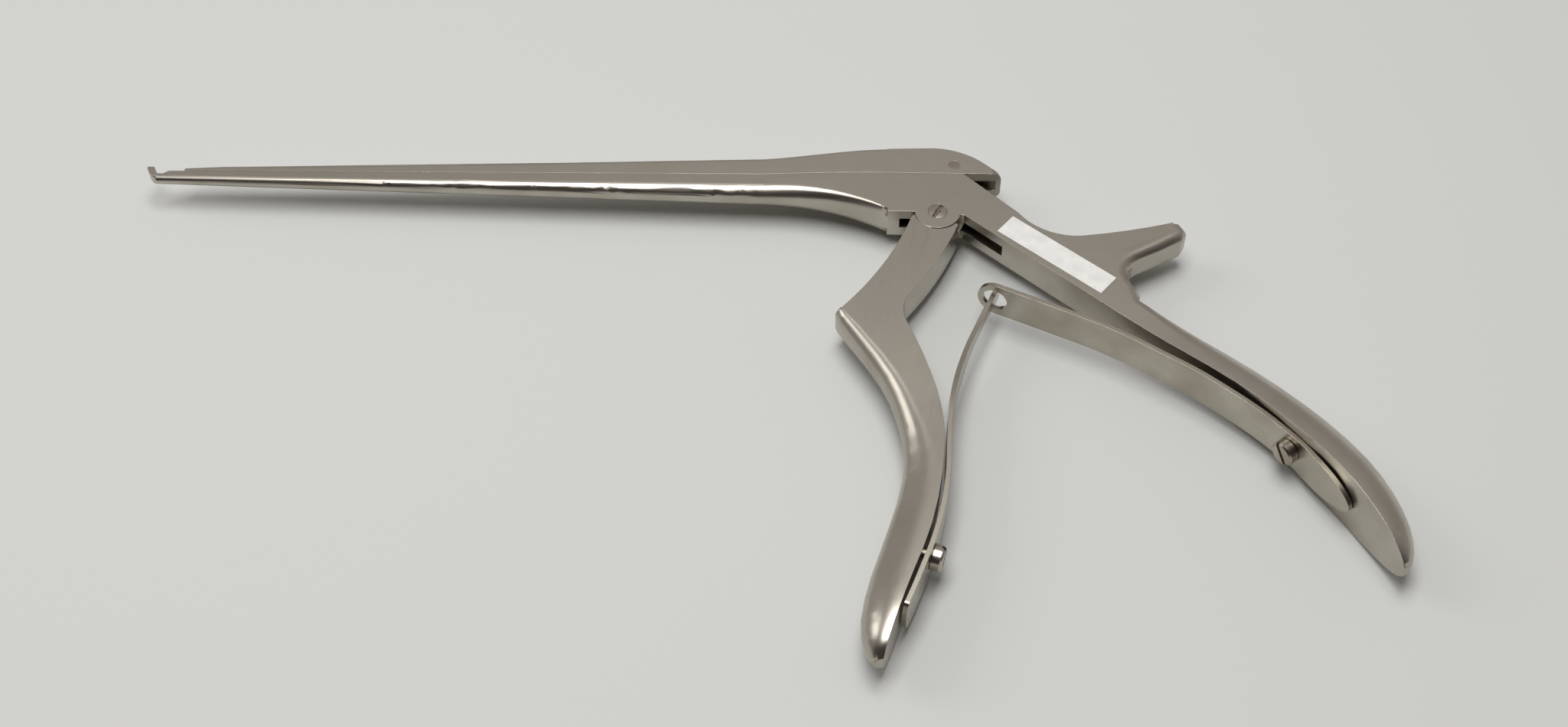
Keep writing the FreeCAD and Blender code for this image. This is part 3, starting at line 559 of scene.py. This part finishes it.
def tail_roof():
    """The plate between the cheeks of the sliding half's tail that closes it over the slot for the tang."""
    arc = [math.radians(degrees) for degrees in TAIL_ARC_TURNS]
    ridge = [Vector((TAIL_ARC_RADIUS * math.sin(turn) + TAIL_ARC_X,
                     TAIL_TOP_Y - TAIL_ARC_RADIUS * (1 - math.cos(turn)), 0)) for turn in arc]
    slope = Vector((math.cos(arc[-1]), -math.sin(arc[-1]), 0))
    ridge.append(ridge[-1] + slope * TAIL_SLOPE_LENGTH)
    turns = arc + [arc[-1]]
    under = [place - Vector((math.sin(turn), math.cos(turn), 0)) * TAIL_ROOF_THICK
             for place, turn in zip(ridge, turns)]
    work = bmesh.new()
    rings = []
    for height in (-TAIL_ROOF_HALF_WIDTH, TAIL_ROOF_HALF_WIDTH):
        rings.append([work.verts.new(PIVOT + (place + Vector((0, 0, height))) * MM)
                      for place in ridge + under[::-1]])
    low, high = rings
    work.faces.new(low)
    work.faces.new(high[::-1])
    for index in range(len(low)):
        after = (index + 1) % len(low)
        work.faces.new((low[index], high[index], high[after], low[after]))
    bmesh.ops.recalc_face_normals(work, faces=work.faces)
    return work


class RONGEUR_OT_forgings(Operator):
    """Makes the fixed half with its handle, the sliding half and the front handle"""
    bl_idname = "rongeur.forgings"
    bl_label = "Forged pieces"

    def execute(self, context):
        steel = context.scene.rongeur_steel
        finishes = {
            "frame": satin_steel("satin ground stainless, frame", steel.body_light, steel.body_deep,
                                 steel.body_roughness, steel.edge_break),
            "sliding_shaft": satin_steel("satin ground stainless, slider", steel.body_light, steel.body_deep,
                                         steel.body_roughness + 0.02, steel.edge_break),
            "front_handle": satin_steel("satin ground stainless, front handle", steel.body_light,
                                        steel.body_deep, steel.body_roughness - 0.01, steel.edge_break,
                                        math.radians(80)),
        }
        for node, finish in finishes.items():
            piece = dress(node, finish, tail_roof() if node == "sliding_shaft" else None)
            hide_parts(node)
            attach(piece, BODY_OF[node])
        return {"FINISHED"}


class RONGEUR_OT_pivot_parts(Operator):
    """Makes the pivot screw and the drive pin"""
    bl_idname = "rongeur.pivot_parts"
    bl_label = "Pivot screw and drive pin"

    def execute(self, context):
        steel = context.scene.rongeur_steel
        finish = satin_steel("turned stainless screw", steel.screw_light, steel.screw_deep,
                             steel.body_roughness - 0.04, steel.edge_break / 2)
        for node in ("pivot_screw", "drive_pin"):
            piece = dress(node, finish)
            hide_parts(node)
            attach(piece, BODY_OF[node])
        return {"FINISHED"}


class RONGEUR_OT_spring_screws(Operator):
    """Makes the two slotted screws that clamp the leaf springs"""
    bl_idname = "rongeur.spring_screws"
    bl_label = "Spring screws"

    def execute(self, context):
        steel = context.scene.rongeur_steel
        sizes = context.scene.rongeur_screws
        finish = satin_steel("turned stainless spring screw", steel.screw_light, steel.screw_deep,
                             steel.body_roughness - 0.04, steel.edge_break / 2)
        tree = screw_tree()
        for node, way, turn in (("rear_spring_screw", sizes.rear_way, sizes.rear_turn),
                                ("front_spring_screw", sizes.front_way, sizes.front_turn)):
            piece = spring_screw(node, tree, finish, heading(way), turn, sizes)
            shade(piece, SHARP)
            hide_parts(node)
            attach(piece, BODY_OF[node])
        return {"FINISHED"}


class RONGEUR_OT_springs(Operator):
    """Makes the two leaf springs"""
    bl_idname = "rongeur.springs"
    bl_label = "Leaf springs"

    def execute(self, context):
        steel = context.scene.rongeur_steel
        finish = satin_steel("tempered spring steel, ground", steel.spring_light, steel.spring_deep,
                             steel.body_roughness - 0.02, steel.edge_break, math.radians(-40))
        sizes = context.scene.rongeur_screws
        leaf = context.scene.rongeur_leaves
        tree = leaf_tree()
        common = {"Width": leaf.width, "Narrows from": TONGUE_FROM, "Narrows to": TONGUE_TO,
                  "Thickness": leaf.thickness, "Hole radius": sizes.shank_radius, "Finish": finish}
        # The rear leaf is as wide at its eye as at its screw, so it doesn't narrow.
        rear = {**common, "End width": leaf.width, "First rounding": leaf.width / 2,
                "Last rounding": REAR_ROUNDING, "Eye place": leaf.eye_place, "Eye radius": leaf.eye_radius,
                "Hole place": REAR_HOLE}
        front = {**common, "End width": leaf.tongue_width, "First rounding": FRONT_ROUNDING,
                 "Last rounding": TONGUE_ROUNDING, "Eye place": 0.0, "Eye radius": 0.0,
                 "Hole place": FRONT_HOLE}
        # Each leaf is clamped at its screw.
        leaves = (
            ("rear_leaf_spring", "rear_spring_screw", sizes.rear_way, "main", "squeeze_lever",
             REAR_LEAF, rear),
            ("front_leaf_spring", "front_spring_screw", sizes.front_way, "squeeze_lever", "main",
             FRONT_LEAF, front),
        )
        for node, screw, way, clamped, free, line, values in leaves:
            piece = leaf_spring("pressed_" + node, tree, line, values)
            shade(piece, SHARP)
            clamp, _ = head_top(screw, heading(way))
            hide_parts(node)
            tuple(clamp)
            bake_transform(piece)
        return {"FINISHED"}


class RONGEUR_OT_tape(Operator):
    """Makes the blank strip of marking tape on the rear handle"""
    bl_idname = "rongeur.tape"
    bl_label = "Marking tape"

    def execute(self, context):
        steel = context.scene.rongeur_steel
        piece = dress("marking_tape", adhesive_tape("white vinyl marking tape", steel.tape_colour))
        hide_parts("marking_tape")
        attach(piece, BODY_OF["marking_tape"])
        return {"FINISHED"}


# Stage

def softbox(name, place, aim, width, depth, power, colour):
    """A rectangular area lamp that points at a place on the table."""
    lamp = bpy.data.lights.new(name, "AREA")
    lamp.shape = "RECTANGLE"
    lamp.size = width
    lamp.size_y = depth
    lamp.energy = power
    lamp.color = linear(colour)[:3]
    holder = new_object(name, lamp)
    holder.location = place
    holder.rotation_euler = (Vector(aim) - Vector(place)).to_track_quat("-Z", "Y").to_euler()


def room(settings):
    """The room round the table: mid grey behind the tool, darker behind the camera."""
    world = bpy.data.worlds.new("studio room")
    bpy.context.scene.world = world
    world.use_nodes = True
    tree = world.node_tree
    tree.nodes.clear()
    way = add(tree, "ShaderNodeTexCoord").outputs["Generated"]
    parts = add(tree, "ShaderNodeSeparateXYZ", links={"Vector": way})
    depth = add(tree, "ShaderNodeMapRange",
                {"From Min": -0.75, "From Max": 0.35, "To Min": 0.0, "To Max": 1.0},
                {"Value": parts.outputs["Y"]}, interpolation_type="SMOOTHSTEP")
    walls = add(tree, "ShaderNodeMix", {"A": linear("#383232"), "B": linear("#A6A29F")},
                {"Factor": depth.outputs["Result"]}, data_type="RGBA")
    rays = add(tree, "ShaderNodeLightPath")
    seen = add(tree, "ShaderNodeMix", {"B": linear(settings.table_colour)},
               {"Factor": rays.outputs["Is Camera Ray"], "A": walls.outputs[2]}, data_type="RGBA")
    back = add(tree, "ShaderNodeBackground", {"Strength": 1.0}, {"Color": seen.outputs[2]})
    add(tree, "ShaderNodeOutputWorld", links={"Surface": back.outputs["Background"]})


class RONGEUR_OT_stage(Operator):
    """Sets the table, the lamps, the room and the camera"""
    bl_idname = "rongeur.stage"
    bl_label = "Stage"

    def execute(self, context):
        settings = context.scene.rongeur_stage
        centre = (CAD_BOX[0] + CAD_BOX[1]) / 2
        mesh = bpy.data.meshes.new("table")
        corners = [(x * TABLE_HALF, y * TABLE_HALF, 0) for x, y in ((-1, -1), (1, -1), (1, 1), (-1, 1))]
        mesh.from_pydata(corners, [], [(0, 1, 2, 3)])
        table = new_object("table", mesh)
        laminate, tree = new_material("matt laminate table")
        shader = add(tree, "ShaderNodeBsdfPrincipled",
                     {"Base Color": linear(settings.table_colour), "Roughness": 0.9,
                      "Specular IOR Level": 0.2})
        add(tree, "ShaderNodeOutputMaterial", links={"Surface": shader.outputs["BSDF"]})
        mesh.materials.append(laminate)

        softbox("overhead softbox", centre + Vector((-0.05, 0.02, 1.1)), centre, 0.9, 0.5,
                settings.lamp_power, "#FFFFFF")
        softbox("left softbox", centre + Vector((-1.0, 0.35, 0.75)), centre, 0.6, 0.6,
                settings.fill_power, "#FFFFFF")
        room(settings)

        camera = bpy.data.cameras.new("photo camera")
        camera.sensor_width = 36
        camera.lens = settings.lens
        camera.clip_start = 0.01
        holder = new_object("photo camera", camera)
        holder.location = PIVOT + Vector(settings.camera_place)
        holder.rotation_euler = Vector(settings.camera_aim).to_track_quat("-Z", "Y").to_euler()
        context.scene.camera = holder
        context.scene.view_settings.view_transform = "Standard"
        return {"FINISHED"}


class RONGEUR_PT_panel(Panel):
    """Lists the pieces and their settings"""
    bl_idname = "RONGEUR_PT_panel"
    bl_label = "Kerrison rongeur"
    bl_space_type = "VIEW_3D"
    bl_region_type = "UI"
    bl_category = "Rongeur"

    def draw(self, context):
        scene = context.scene
        for settings in (scene.rongeur_steel, scene.rongeur_screws, scene.rongeur_leaves,
                         scene.rongeur_stage):
            for name in settings.__annotations__:
                self.layout.prop(settings, name)
        for operator in OPERATORS:
            self.layout.operator(operator.bl_idname)


OPERATORS = (RONGEUR_OT_stage, RONGEUR_OT_forgings, RONGEUR_OT_pivot_parts, RONGEUR_OT_spring_screws,
             RONGEUR_OT_springs, RONGEUR_OT_tape)
CLASSES = (SteelSettings, ScrewSettings, LeafSettings, StageSettings, *OPERATORS, RONGEUR_PT_panel)


def register():
    for entry in CLASSES:
        bpy.utils.register_class(entry)
    bpy.types.Scene.rongeur_steel = PointerProperty(type=SteelSettings)
    bpy.types.Scene.rongeur_screws = PointerProperty(type=ScrewSettings)
    bpy.types.Scene.rongeur_leaves = PointerProperty(type=LeafSettings)
    bpy.types.Scene.rongeur_stage = PointerProperty(type=StageSettings)


def unregister():
    del bpy.types.Scene.rongeur_stage
    del bpy.types.Scene.rongeur_leaves
    del bpy.types.Scene.rongeur_screws
    del bpy.types.Scene.rongeur_steel
    for entry in reversed(CLASSES):
        bpy.utils.unregister_class(entry)


def main():
    register()
    bpy.ops.rongeur.stage()
    bpy.ops.rongeur.forgings()
    bpy.ops.rongeur.pivot_parts()
    bpy.ops.rongeur.spring_screws()
    bpy.ops.rongeur.springs()
    bpy.ops.rongeur.tape()
    bpy.context.view_layer.update()


if __name__ == "__main__":
    main()
